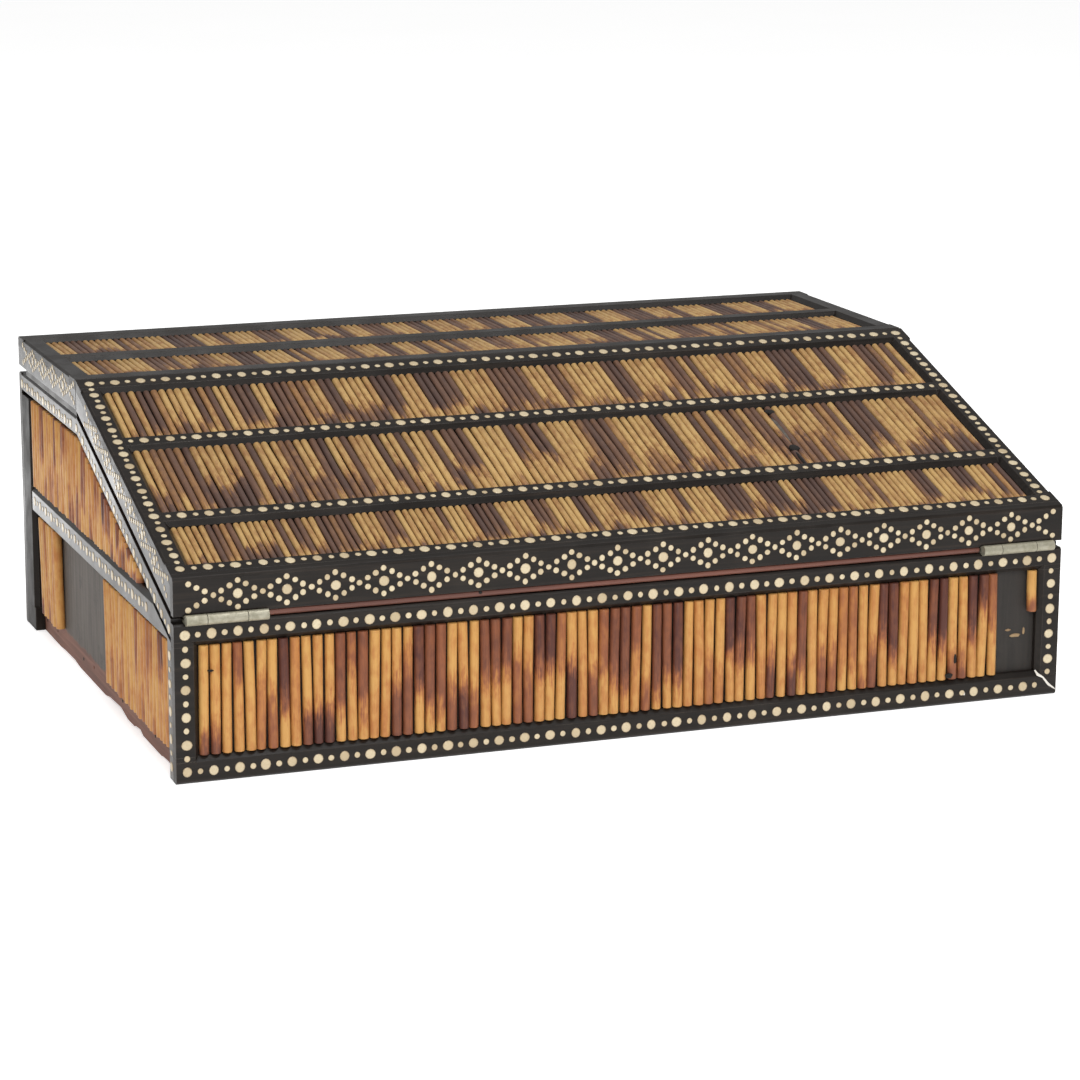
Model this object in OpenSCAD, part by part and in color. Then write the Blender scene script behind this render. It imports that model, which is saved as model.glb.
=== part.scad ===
// A slope-front stationery box: a wooden carcass faced with ebony strips, bone dots and
// panels of porcupine quills laid side by side. The sloped lid falls forward on two barrel
// hinges and becomes a writing slope; the flat lid behind it opens over ink, pens and letters.
// Millimetres, +Z up, the front faces -Y. The origin is the middle of the underside.

/* [Case] */
// Width over the side strips
case_w = 420; // [395:1:445]
// Depth over the front and back strips
case_d = 292; // [282:1:304]
// Height of the case at its front
front_h = 70; // [67:0.5:73]
// Height of the closed box
total_h = 144; // [141:0.5:150]
// Height of the flat lid and the slot under it
flat_lid_h = 17.5; // [16.5:0.1:20]
// Height of the front edge of the sloped lid and the slot under it
slope_lid_h = 19.7; // [18:0.1:22]
// Depth from the front face to the joint between the two lids
slope_d = 170.4; // [162:0.2:178]
// Thickness of the carcass boards
wall_t = 8; // [7:0.5:10]
// Thickness of the bottom board
floor_t = 9; // [7:0.5:11]
// Height of the slot between the case and the lids, which takes hinge leaves and beads
slot_h = 3.4; // [3.2:0.1:4]
// Gap between a bead and the case that it comes down on
seat_gap = 0.4; // [0.3:0.05:0.6]
// Gap between the two closed lids
lid_joint = 0.8; // [0.6:0.1:1.4]

/* [Wall strips] */
// Thickness of the strips on the walls, which is also the depth of the quill beds
strip_t = 4.8; // [4.4:0.1:5.4]
// Width of the rail along the top of the front
front_top_w = 10; // [9:0.5:12]
// Width of the rail along the bottom of every wall
bottom_w = 11.5; // [10:0.5:13]
// Width of the upright strips at the ends of the front and the back
corner_w = 10.6; // [9:0.1:12]
// Width of the upright strip at the front of a side
side_front_w = 6; // [5:0.5:8]
// Width of the upright strip at the back of a side
side_back_w = 17; // [14:0.5:20]
// Width of the rails along the top of the sides and the back, measured upright
side_top_w = 10.2; // [9:0.1:11]
// Height of the underside of the rail across the sides and the back
mid_z = 60.5; // [58:0.5:63]
// Width of the rail across the sides and the back
mid_w = 12.5; // [11:0.5:14]
// Width of the sloping edge that faces a quill panel
strip_bevel = 2.2; // [1.5:0.1:2.6]
// Width of the small bevel on the other edges
edge_bevel = 1; // [0.6:0.1:1.2]
// Hairline joint between a strip and the end of the next
joint = 0.1; // [0.05:0.05:0.2]

/* [Quills] */
// Diameter of the quills on the walls
wall_quill_d = 4.7; // [4:0.1:4.8]
// Spacing of the quills on the walls
wall_pitch = 5; // [4.9:0.1:6]
// Diameter of the thin quills on the lids
thin_quill_d = 2.9; // [2.5:0.1:2.95]
// Spacing of the thin quills on the lids
thin_pitch = 3.05; // [3:0.05:3.6]
// Diameter of the thick quills across the middle of the sloped lid
thick_quill_d = 4.5; // [4:0.1:4.65]
// Spacing of the thick quills
thick_pitch = 4.75; // [4.7:0.05:5.4]
// Gap between the end of a quill and the strip beside it
quill_end_gap = 0.3; // [0.2:0.1:0.6]
// Quills lost beside the short one at the right of the front
lost_front = 3; // [0:1:6]
// Length left of the broken quill at the right of the front
short_quill = 20; // [10:1:30]
// Depth from the front face where the bare patch of the left side starts
bare_from = 126; // [100:1:140]
// Depth from the front face where the bare patch of the left side ends
bare_to = 224; // [200:1:240]

/* [Lids] */
// Thickness of the strips on the lids
lid_strip_t = 4.7; // [4.4:0.1:5.2]
// Thickness of the lid boards under the strips
lid_board_t = 4; // [3.5:0.1:4.4]
// Thickness of the lining under the lid boards
lining_t = 0.8; // [0.5:0.1:1]
// Thickness of the ebony bands round the edges of the lids
band_t = 4; // [3.5:0.1:4.6]
// Width of the strip along each end of a lid
lid_stile_w = 10.5; // [9:0.5:12]
// Width of the strip along the front of the sloped lid
lid_front_w = 13; // [12:0.5:14]
// Width of the strip along the top of the sloped lid
lid_top_w = 11; // [10:0.5:12]
// Width of the bars across the lids
bar_w = 11.5; // [10.5:0.5:12.5]
// Distance up the slope of the middle of the lower bar
lower_bar_s = 51.3; // [46:0.1:56]
// Distance up the slope of the middle of the upper bar
upper_bar_s = 118.4; // [112:0.1:124]
// Width of the strips along the front and the back of the flat lid
flat_rail_w = 11.5; // [10:0.5:13]
// Depth of a bead from its outer face
bead_d = 4.5; // [4:0.1:5]
// Distance that the side beads of the sloped lid are set back
bead_set = 2.5; // [2:0.1:3]
// Distance that the other beads are set back
bead_face = 0.4; // [0.3:0.1:0.8]

/* [Inlay] */
// Diameter of a large bone dot
large_dot = 4.6; // [4:0.1:5]
// Diameter of a small bone dot
small_dot = 2.7; // [2.2:0.1:3.2]
// How far a dot stands out of the ebony
dot_h = 0.2; // [0.1:0.05:0.3]
// Spacing of the large dots along a strip
dot_pitch = 12; // [11:0.1:14]
// Spacing of the large dots up the ends of the sloped lid
end_dot_pitch = 11; // [10:0.1:13]
// Distance from the edge of the box to the dots of its corners
dot_inset = 4.8; // [4:0.1:5.4]
// Distance from the front edge of the sloped lid to its first row of dots
lid_dot_inset = 7.8; // [7:0.1:8.5]
// Length of a lozenge
lozenge_len = 21.5; // [20:0.1:24]
// Half the height of a lozenge
lozenge_r = 5.7; // [5:0.1:6]
// Distance from the left edge of a band to the first dots of its lozenges
lozenge_inset = 8.4; // [3:0.1:10]

/* [Hinges] */
// Length of a hinge
hinge_len = 36; // [32:1:42]
// Distance from the strip on the side of the box to a hinge
hinge_off = 0.2; // [0.1:0.1:2]
// Diameter of the barrel
knuckle_d = 4.7; // [4.4:0.1:5]
// Length of each end knuckle
end_knuckle = 9; // [8:0.5:10]
// Gap between neighbouring knuckles
knuckle_gap = 0.3; // [0.2:0.05:0.5]
// Distance from the face of the box out to the axis of the barrel
barrel_out = 1; // [0.8:0.1:1.3]
// Diameter of the hinge pin
pin_d = 1.8; // [1.6:0.1:2]
// Gap round the pin in its bore
pin_gap = 0.05; // [0.03:0.01:0.08]
// Thickness of a leaf
leaf_t = 1.2; // [1:0.1:1.35]
// Depth of a leaf behind the barrel
leaf_d = 11; // [10:0.5:12]
// Gap between the barrel and what turns round it
barrel_gap = 0.35; // [0.3:0.05:0.5]
// Diameter of a screw
screw_d = 2.2; // [2:0.1:2.4]
// Diameter of a screw head
screw_head_d = 3.6; // [3.2:0.1:4]
// Length of a screw below its leaf
screw_len = 4.5; // [4:0.5:6]
// Gap round a screw
screw_gap = 0.05; // [0.03:0.01:0.08]
// Distance from the end of a hinge to its nearest screw
screw_end = 6; // [5:0.5:7]

/* [Inside] */
// Thickness of the lining on the floor of the paper well
well_lining_t = 1.5; // [1:0.1:2]
// Thickness of the two partitions
partition_t = 4.5; // [4:0.5:5]
// Distance from the top edge of the case down to the top of the partitions
partition_drop = 4.5; // [3:0.5:10]
// Clear depth between the partitions
ink_d = 37; // [34:1:40]
// Depth of the ink compartments below the top of the partitions
ink_deep = 48; // [44:1:54]
// Thickness of the ink shelf
shelf_t = 4; // [3:0.5:5]
// Width of the ink compartment at each end
ink_w = 46; // [42:1:60]
// Thickness of the walls beside the ink compartments
ink_wall_t = 4; // [3:0.5:5]
// Height of the pen trough
trough_h = 22; // [20:1:26]
// Radius of the hollow of the pen trough
trough_r = 15; // [13:0.5:16]
// Depth of the hollow of the pen trough
trough_depth = 12; // [10:0.5:13]
// Length of solid wood at each end of the pen trough
trough_end = 6; // [4:0.5:8]
// Thickness of the letter dividers
divider_t = 3; // [2.5:0.5:4]
// Distance from the top edge of the case down to the letter divider nearer the front
divider_front_drop = 22.5; // [16:0.5:30]
// Distance from the top edge of the case down to the letter divider nearer the back
divider_back_drop = 13.5; // [8:0.5:20]

/* [Hidden] */

ebony = [0.17, 0.16, 0.15];
carcass = [0.42, 0.24, 0.18];
red_wood = [0.45, 0.24, 0.18];
pale_wood = [0.72, 0.53, 0.34];
quill_tan = [0.80, 0.60, 0.36];
old_brass = [0.56, 0.54, 0.45];
bone = [0.90, 0.84, 0.70];
velvet = [0.28, 0.10, 0.10];

half_w = case_w / 2;
// Height of the case under the flat lid
rear_h = total_h - flat_lid_h;
// Height of the top front edge of the closed sloped lid
lid_front_h = front_h + slope_lid_h;
inner_x = half_w - strip_t - wall_t;
wall_back = strip_t + wall_t;
floor_z = floor_t + well_lining_t;

// The case slopes by case_m from its front to the joint of the lids.
case_m = (rear_h - front_h) / slope_d;
case_ang = atan(case_m);
function rim_z(d) = front_h + case_m * d;
function rail_low(d) = rim_z(d) - side_top_w;
function under_rail(d) = min(rail_low(d), rear_h - side_top_w);

// The sloped lid ends at slope_end and the flat lid starts at flat_start.
slope_end = slope_d - lid_joint / 2;
flat_start = slope_d + lid_joint / 2;
flat_z = rear_h + slot_h;
lid_ang = atan((total_h - lid_front_h) / slope_end);
lid_len = slope_end / cos(lid_ang);
// Height, at depth d, of a plane t above the face of the sloped lid
function lid_z(d, t) = lid_front_h + d * tan(lid_ang) + t / cos(lid_ang);
// Depth and height of the point that lies s up the slope and t above its face
function lid_point(s, t) = [s * cos(lid_ang) - t * sin(lid_ang),
    lid_front_h + s * sin(lid_ang) + t * cos(lid_ang)];
// Height, at depth d, of the underside of the sloped lid's edges
function lid_low(d) = rim_z(d) + slot_h;

bead_h = slot_h - seat_gap;
knuckle_r = knuckle_d / 2;
hinge_inset = strip_t + hinge_off;
leaf_start = knuckle_r + barrel_gap;
leaf_back = leaf_start - barrel_out + leaf_d;
screw_y = leaf_start + leaf_d / 2;

front_part_d = slope_d - partition_t - 2;
rear_part_d = front_part_d + partition_t + ink_d;
letter_d = rear_part_d + partition_t;
partition_h = rear_h - partition_drop;
shelf_z = partition_h - ink_deep - shelf_t;
letter_pitch = (case_d - wall_back - letter_d - 2 * divider_t) / 3;

// Extrudes an outline of [depth, height] points along X from x0 to x1.
module along_x(x0, x1, points) {
    translate([x0, -case_d / 2, 0]) rotate([90, 0, 90]) linear_extrude(x1 - x0) polygon(points);
}

// Extrudes an outline of [x, height] points from depth d0 to depth d1.
module along_d(d0, d1, points) {
    translate([0, d1 - case_d / 2, 0]) rotate([90, 0, 0]) linear_extrude(d1 - d0) polygon(points);
}

// Extrudes an outline of [x, depth] points from height z0 to height z1.
module upright(z0, z1, points) {
    translate([0, -case_d / 2, z0]) linear_extrude(z1 - z0) polygon(points);
}

// A board between two depths and two heights, across x0 to x1
module board(x0, x1, d0, d1, z0, z1) {
    translate([x0, d0 - case_d / 2, z0]) cube([x1 - x0, d1 - d0, z1 - z0]);
}

// Section of a strip on the front face, bevelled by low at the bottom and high at the top
function front_section(z0, z1, low, high) = [[strip_t, z0], [strip_t, z1], [high, z1],
    [0, z1 - high], [0, z0 + low], [low, z0]];

// Section of a strip on the left face
function side_section(z0, z1, low, high) = [for (p = front_section(z0, z1, low, high))
    [p[0] - half_w, p[1]]];

// Copies the left of the box to the right as well.
module both_sides() {
    children();
    mirror([1, 0, 0]) children();
}

// Turns the front of the box into its back.
module at_back() {
    mirror([0, 1, 0]) children();
}

// Carcass

module bottom_board() {
    color(carcass) board(-inner_x, inner_x, wall_back, case_d - wall_back, 0, floor_t);
}

module front_wall() {
    color(carcass) difference() {
        board(strip_t - half_w, half_w - strip_t, strip_t, wall_back, 0, front_h);
        front_hinges() screw_hole(-slot_h / 2 + leaf_t, -1);
    }
}

module back_wall() {
    color(carcass) difference() {
        at_back() board(strip_t - half_w, half_w - strip_t, strip_t, wall_back, 0, rear_h);
        rear_hinges() screw_hole(-slot_h / 2 + leaf_t, -1);
    }
}

// Outline of a side board, as depth and height
function side_outline() = [[wall_back, 0], [case_d - wall_back, 0],
    [case_d - wall_back, rear_h], [slope_d, rear_h], [wall_back, rim_z(wall_back)]];

nail_r = 0.9;
nail_depth = 4;
nail_places = [[168, 7.5], [243, 6.5]];

// Chips out of the bare lower edge of the left side, as first depth, last depth and height
chips = [[26, 44, 1], [76, 92, 1.6], [104, 146, 2.2], [196, 236, 1]];

module side_wall() {
    along_x(strip_t - half_w, -inner_x, side_outline());
}

// The left side has lost its bottom strip, so its nail holes and chipped edge show.
module left_wall() {
    color(carcass) difference() {
        side_wall();
        for (p = nail_places)
            translate([strip_t - half_w - 1, p[0] - case_d / 2, p[1]]) rotate([0, 90, 0])
                cylinder(h = nail_depth + 1, r = nail_r, $fn = 20);
        for (c = chips)
            along_x(-half_w, 0, [[c[0], -1], [c[0], 0], [0.7 * c[0] + 0.3 * c[1], c[2]],
                [0.2 * c[0] + 0.8 * c[1], 0.6 * c[2]], [c[1], 0], [c[1], -1]]);
    }
}

module right_wall() {
    color(carcass) mirror([1, 0, 0]) side_wall();
}

// Strips and quills of the front

module front_top_rail() {
    color(ebony) difference() {
        along_x(-half_w, half_w,
            front_section(front_h - front_top_w, front_h, strip_bevel, edge_bevel));
        front_hinges() barrel_room();
    }
}

module front_bottom_rail() {
    color(ebony) along_x(-half_w, half_w, front_section(0, bottom_w, edge_bevel, strip_bevel));
}

// An upright strip at the left end of the front
module corner_strip(z0, z1) {
    edge = corner_w - half_w;
    upright(z0, z1, [[-half_w, strip_t], [-half_w, 0], [edge - strip_bevel, 0],
        [edge, strip_bevel], [edge, strip_t]]);
}

module front_stiles() {
    color(ebony) both_sides() corner_strip(bottom_w + joint, front_h - front_top_w - joint);
}

// An upright quill that stands on the bed of the front wall
module front_quill(x, z0, z1) {
    translate([x, strip_t - wall_quill_d / 2 - case_d / 2, z0 + quill_end_gap])
        cylinder(h = z1 - z0 - 2 * quill_end_gap, d = wall_quill_d, $fn = 24);
}

front_room = case_w - 2 * corner_w;
front_count = floor(front_room / wall_pitch);
front_step = front_room / front_count;
function front_x(i) = corner_w - half_w + (i + 0.5) * front_step;

module front_quills() {
    top = front_h - front_top_w;
    color(quill_tan) {
        for (i = [0 : front_count - lost_front - 2]) front_quill(front_x(i), bottom_w, top);
        front_quill(front_x(front_count - 1), top - short_quill, top);
    }
}

// Strips and quills of the sides

side_back_d = case_d - strip_t - side_back_w;
side_front_d = strip_t + side_front_w;

// The rail that follows the slope
module slope_rail() {
    across = side_top_w * cos(case_ang);
    intersection() {
        along_x(-half_w, strip_t - half_w, [[strip_t, rail_low(strip_t)],
            [strip_t, rim_z(strip_t)], [slope_d - joint, rim_z(slope_d - joint)],
            [slope_d - joint, rail_low(slope_d - joint)]]);
        translate([0, strip_t - case_d / 2, rail_low(strip_t)]) rotate([case_ang + 90, 0, 0])
            translate([0, 0, -2 * slope_d]) linear_extrude(3 * slope_d)
                polygon([for (p = side_section(0, across, strip_bevel, 0)) p]);
    }
}

// All strips of one side but the bottom one
module side_strips() {
    slope_rail();
    along_d(slope_d, case_d - strip_t,
        side_section(rear_h - side_top_w, rear_h, strip_bevel, edge_bevel));
    intersection() {
        along_d(side_front_d + joint, side_back_d - joint,
            side_section(mid_z, mid_z + mid_w, edge_bevel, strip_bevel));
        along_x(-half_w - 1, half_w, [[0, 0], [case_d, 0], [case_d, rail_low(case_d) - joint],
            [0, rail_low(0) - joint]]);
    }
    along_x(-half_w, strip_t - half_w, [[strip_t, bottom_w + joint],
        [side_front_d, bottom_w + joint], [side_front_d, rail_low(side_front_d) - joint],
        [strip_t, rail_low(strip_t) - joint]]);
    upright(bottom_w + joint, rear_h - side_top_w - joint, [[strip_t - half_w, case_d - strip_t],
        [-half_w, case_d - strip_t], [-half_w, side_back_d + strip_bevel],
        [strip_bevel - half_w, side_back_d], [strip_t - half_w, side_back_d]]);
}

module left_frame() {
    color(ebony) side_strips();
}

module right_frame() {
    color(ebony) mirror([1, 0, 0]) {
        side_strips();
        along_d(strip_t, case_d - strip_t, side_section(0, bottom_w, edge_bevel, strip_bevel));
    }
}

side_room = side_back_d - side_front_d;
side_count = floor(side_room / wall_pitch);
side_step = side_room / side_count;
function side_depth(i) = side_front_d + (i + 0.5) * side_step;
shortest_quill = 6;

// An upright quill on the bed of the left wall, at depth d
module side_quill(d, z0, z1) {
    translate([strip_t - wall_quill_d / 2 - half_w, d - case_d / 2, z0 + quill_end_gap])
        cylinder(h = z1 - z0 - 2 * quill_end_gap, d = wall_quill_d, $fn = 24);
}

module upper_quills() {
    for (i = [0 : side_count - 1]) {
        top = under_rail(side_depth(i) - wall_quill_d / 2);
        if (top - mid_z - mid_w > shortest_quill) side_quill(side_depth(i), mid_z + mid_w, top);
    }
}

// Depths that hold no quill on the left side
function is_bare(d) = (d > bare_from && d < bare_to) || d > side_back_d - 2 * wall_pitch;

module lower_quills(with_bare_patch) {
    for (i = [0 : side_count - 1]) {
        top = min(mid_z, rail_low(side_depth(i) - wall_quill_d / 2));
        if (!with_bare_patch || !is_bare(side_depth(i))) side_quill(side_depth(i), bottom_w, top);
    }
}

module left_upper_quills() {
    color(quill_tan) upper_quills();
}

module left_lower_quills() {
    color(quill_tan) lower_quills(true);
}

module right_upper_quills() {
    color(quill_tan) mirror([1, 0, 0]) upper_quills();
}

module right_lower_quills() {
    color(quill_tan) mirror([1, 0, 0]) lower_quills(false);
}

// Strips and quills of the back

module back_frame() {
    color(ebony) difference() {
        at_back() {
            along_x(-half_w, half_w, front_section(0, bottom_w, edge_bevel, strip_bevel));
            along_x(corner_w + joint - half_w, half_w - corner_w - joint,
                front_section(mid_z, mid_z + mid_w, strip_bevel, strip_bevel));
            along_x(-half_w, half_w,
                front_section(rear_h - side_top_w, rear_h, strip_bevel, edge_bevel));
            both_sides() corner_strip(bottom_w + joint, rear_h - side_top_w - joint);
        }
        rear_hinges() barrel_room();
    }
}

module back_quills() {
    color(quill_tan) at_back() for (i = [0 : front_count - 1]) {
        front_quill(front_x(i), bottom_w, mid_z);
        front_quill(front_x(i), mid_z + mid_w, rear_h - side_top_w);
    }
}

// Inside of the case

module well_lining() {
    color(velvet)
        board(-inner_x, inner_x, wall_back, case_d - wall_back, floor_t, floor_t + well_lining_t);
}

module front_partition() {
    color(pale_wood) board(-inner_x, inner_x, front_part_d, front_part_d + partition_t,
        shelf_z, partition_h);
}

module rear_partition() {
    color(pale_wood) board(-inner_x, inner_x, rear_part_d, letter_d, floor_z, partition_h);
}

module ink_shelf() {
    color(pale_wood) board(-inner_x, inner_x, front_part_d + partition_t, rear_part_d,
        shelf_z, shelf_z + shelf_t);
}

module ink_walls() {
    color(pale_wood) both_sides() board(ink_w - inner_x, ink_w + ink_wall_t - inner_x,
        front_part_d + partition_t, rear_part_d, shelf_z + shelf_t, partition_h);
}

module pen_trough() {
    half_len = inner_x - ink_w - ink_wall_t;
    mid_y = rear_part_d - ink_d / 2 - case_d / 2;
    top = shelf_z + shelf_t + trough_h;
    color(pale_wood) difference() {
        board(-half_len, half_len, front_part_d + partition_t, rear_part_d,
            shelf_z + shelf_t, top);
        translate([trough_end - half_len, mid_y, top - trough_depth + trough_r])
            rotate([0, 90, 0]) cylinder(h = 2 * (half_len - trough_end), r = trough_r, $fn = 64);
    }
}

module letter_dividers() {
    first = letter_d + letter_pitch;
    second = first + divider_t + letter_pitch;
    color(pale_wood) {
        board(-inner_x, inner_x, first, first + divider_t, floor_z, rear_h - divider_front_drop);
        board(-inner_x, inner_x, second, second + divider_t, floor_z, rear_h - divider_back_drop);
    }
}

// Hinges. A hinge is drawn from x = 0 to hinge_len with its pin along the X axis,
// the box behind it at +Y, the case below and the lid above.

module front_hinges() {
    for (x = [hinge_inset - half_w, half_w - hinge_inset - hinge_len])
        translate([x, -barrel_out - case_d / 2, front_h + slot_h / 2]) children();
}

module rear_hinges() {
    at_back() for (x = [hinge_inset - half_w, half_w - hinge_inset - hinge_len])
        translate([x, -barrel_out - case_d / 2, rear_h + slot_h / 2]) children();
}

module along_pin(x0, x1, r) {
    translate([x0, 0, 0]) rotate([0, 90, 0]) cylinder(h = x1 - x0, r = r, $fn = 48);
}

// What is cut from the strips so that the barrel turns clear
module barrel_room() {
    along_pin(-barrel_gap, hinge_len + barrel_gap, knuckle_r + barrel_gap);
}

screw_places = [screw_end, hinge_len / 2, hinge_len - screw_end];

// Three countersunk screws whose heads are flush with height z, pointing the way of side
module screws(z, side, gap) {
    for (x = screw_places) translate([x, screw_y, z]) mirror([0, 0, side < 0 ? 1 : 0]) {
        cylinder(h = leaf_t, d1 = screw_head_d + 2 * gap, d2 = screw_d + 2 * gap, $fn = 32);
        translate([0, 0, leaf_t]) cylinder(h = screw_len + gap, d = screw_d + 2 * gap, $fn = 32);
    }
}

module screw_hole(z, side) {
    screws(z, side, screw_gap);
}

middle_start = end_knuckle + knuckle_gap;
middle_end = hinge_len - end_knuckle - knuckle_gap;

module case_leaf() {
    bottom = -slot_h / 2;
    difference() {
        union() {
            along_pin(0, end_knuckle, knuckle_r);
            along_pin(hinge_len - end_knuckle, hinge_len, knuckle_r);
            translate([0, leaf_start, bottom]) cube([hinge_len, leaf_d, leaf_t]);
            for (x = [0, hinge_len - end_knuckle])
                translate([x, 0, bottom]) cube([end_knuckle, leaf_start + 1, leaf_t]);
        }
        along_pin(-1, hinge_len + 1, pin_d / 2 + pin_gap);
        screw_hole(bottom + leaf_t, -1);
    }
}

module lid_leaf() {
    top = slot_h / 2;
    difference() {
        union() {
            along_pin(middle_start, middle_end, knuckle_r);
            translate([0, leaf_start, top - leaf_t]) cube([hinge_len, leaf_d, leaf_t]);
            translate([middle_start, 0, top - leaf_t])
                cube([middle_end - middle_start, leaf_start + 1, leaf_t]);
        }
        along_pin(-1, hinge_len + 1, pin_d / 2 + pin_gap);
        screw_hole(top - leaf_t, 1);
    }
}

module front_case_leaves() {
    color(old_brass) front_hinges() case_leaf();
}

module rear_case_leaves() {
    color(old_brass) rear_hinges() case_leaf();
}

module front_hinge_pins() {
    color(old_brass) front_hinges() along_pin(0, hinge_len, pin_d / 2);
}

module rear_hinge_pins() {
    color(old_brass) rear_hinges() along_pin(0, hinge_len, pin_d / 2);
}

module case_hinge_screws() {
    color(old_brass) {
        front_hinges() screws(-slot_h / 2 + leaf_t, -1, 0);
        rear_hinges() screws(-slot_h / 2 + leaf_t, -1, 0);
    }
}

module slope_leaves() {
    color(old_brass) front_hinges() lid_leaf();
}

module flat_leaves() {
    color(old_brass) rear_hinges() lid_leaf();
}

module slope_screws() {
    color(old_brass) front_hinges() screws(slot_h / 2 - leaf_t, 1, 0);
}

module flat_screws() {
    color(old_brass) rear_hinges() screws(slot_h / 2 - leaf_t, 1, 0);
}

// Sloped lid

band_x = half_w - band_t;
rail_start = band_t + joint;
lid_deep = lid_strip_t + lid_board_t;

module slope_board() {
    color(carcass) along_x(-band_x, band_x, [
        [band_t, lid_z(band_t, -lid_deep)], [slope_end - band_t, lid_z(slope_end - band_t, -lid_deep)],
        [slope_end - band_t, lid_z(slope_end - band_t, -lid_strip_t)],
        [band_t, lid_z(band_t, -lid_strip_t)]]);
}

// The block behind a hinged edge takes the screws. It comes down inside the side strips
// and in front of the side boards, which rise with the slope.
block_back = wall_back - seat_gap;
block_x = half_w - strip_t - seat_gap;

module slope_block() {
    low = lid_low(0);
    color(carcass) difference() {
        along_x(-block_x, block_x, [[band_t, low], [block_back, low],
            [block_back, lid_z(block_back, -lid_deep)], [band_t, lid_z(band_t, -lid_deep)]]);
        front_hinges() screw_hole(slot_h / 2 - leaf_t, 1);
    }
}

module slope_band() {
    low = lid_low(0);
    color(ebony) difference() {
        along_x(-half_w, half_w, [[0, low], [band_t, low], [band_t, lid_z(band_t, 0)],
            lid_point(edge_bevel, 0), [0, lid_front_h - edge_bevel]]);
        front_hinges() barrel_room();
    }
}

// The ebony edges at the two ends and the back of the sloped lid
module slope_edges() {
    inner = slope_end - band_t;
    color(ebony) {
        both_sides() along_x(-half_w, -band_x, [[rail_start, lid_low(rail_start)],
            [slope_end, lid_low(slope_end)], [slope_end, lid_z(slope_end, -lid_strip_t)],
            [rail_start, lid_z(rail_start, -lid_strip_t)]]);
        along_x(joint - band_x, band_x - joint, [[inner, lid_low(inner)], [slope_end, lid_low(slope_end)],
            [slope_end, lid_z(slope_end, -lid_strip_t)], [inner, lid_z(inner, -lid_strip_t)]]);
    }
}

hinge_room = hinge_inset + hinge_len + 1;

// A bead with a rounded nose, from depth d0 to d1 and height z0 to z1
module nose_bead(x0, x1, d0, d1, z0, z1) {
    r = (z1 - z0) / 2;
    along_x(x0, x1, concat([[d1, z1], [d0 + r, z1]],
        [for (a = [105 : 15 : 255]) [d0 + r + r * cos(a), z0 + r + r * sin(a)]],
        [[d0 + r, z0], [d1, z0]]));
}

side_bead_start = leaf_back + 2;

// The bare wooden bead under the front band, and the ones along the ends
module slope_bead() {
    low = lid_low(0);
    first = side_bead_start;
    x0 = bead_set - half_w;
    color(red_wood) {
        nose_bead(hinge_room - half_w, half_w - hinge_room, bead_face, bead_face + bead_d,
            low - bead_h, low);
        both_sides() along_x(x0, x0 + bead_d, [[first, lid_low(first) - bead_h],
            [slope_end, lid_low(slope_end) - bead_h], [slope_end, lid_low(slope_end)],
            [first, lid_low(first)]]);
    }
}

// Places what is drawn as [x, up the slope, above the face].
module on_slope() {
    translate([0, -case_d / 2, lid_front_h]) rotate([lid_ang, 0, 0]) children();
}

// A strip up the left end of a lid, drawn in the frame of its face
module lid_stile(s0, s1) {
    edge = lid_stile_w - half_w;
    translate([0, s1, 0]) rotate([90, 0, 0]) linear_extrude(s1 - s0)
        polygon([[-half_w, -lid_strip_t], [-half_w, -edge_bevel], [edge_bevel - half_w, 0],
            [edge - strip_bevel, 0], [edge, -strip_bevel], [edge, -lid_strip_t]]);
}

module slope_frame() {
    top_s = lid_len - lid_top_w;
    color(ebony) {
        along_x(-half_w, half_w, [[rail_start, lid_z(rail_start, -lid_strip_t)],
            [rail_start, lid_z(rail_start, 0)], lid_point(lid_front_w - strip_bevel, 0),
            lid_point(lid_front_w, -strip_bevel), lid_point(lid_front_w, -lid_strip_t)]);
        along_x(-half_w, half_w, [lid_point(top_s, -lid_strip_t), lid_point(top_s, -strip_bevel),
            lid_point(top_s + strip_bevel, 0), [slope_end, total_h],
            [slope_end, lid_z(slope_end, -lid_strip_t)]]);
        on_slope() both_sides() lid_stile(lid_front_w + joint, top_s - joint);
    }
}

// A bar across a lid, drawn in the frame of its face, with its middle at s
module lid_bar(s) {
    stile_x = half_w - lid_stile_w;
    low = s - bar_w / 2;
    high = s + bar_w / 2;
    translate([-stile_x, 0, 0]) rotate([90, 0, 90]) linear_extrude(2 * stile_x)
        polygon([[low, -lid_strip_t], [low, -strip_bevel], [low + strip_bevel, 0],
            [high - strip_bevel, 0], [high, -strip_bevel], [high, -lid_strip_t]]);
}

module slope_bars() {
    color(ebony) on_slope() {
        lid_bar(lower_bar_s);
        lid_bar(upper_bar_s);
    }
}

// A row of quills between s0 and s1, drawn in the frame of a lid's face
module quill_row(s0, s1, quill_d, pitch) {
    room = case_w - 2 * lid_stile_w;
    count = floor(room / pitch);
    step = room / count;
    for (i = [0 : count - 1])
        translate([lid_stile_w - half_w + (i + 0.5) * step, s0 + quill_end_gap,
            quill_d / 2 - lid_strip_t])
            rotate([-90, 0, 0]) cylinder(h = s1 - s0 - 2 * quill_end_gap, d = quill_d, $fn = 20);
}

module slope_front_quills() {
    color(quill_tan) on_slope()
        quill_row(lid_front_w, lower_bar_s - bar_w / 2, thin_quill_d, thin_pitch);
}

module slope_middle_quills() {
    color(quill_tan) on_slope()
        quill_row(lower_bar_s + bar_w / 2, upper_bar_s - bar_w / 2, thick_quill_d, thick_pitch);
}

module slope_upper_quills() {
    color(quill_tan) on_slope()
        quill_row(upper_bar_s + bar_w / 2, lid_len - lid_top_w, thin_quill_d, thin_pitch);
}

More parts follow.
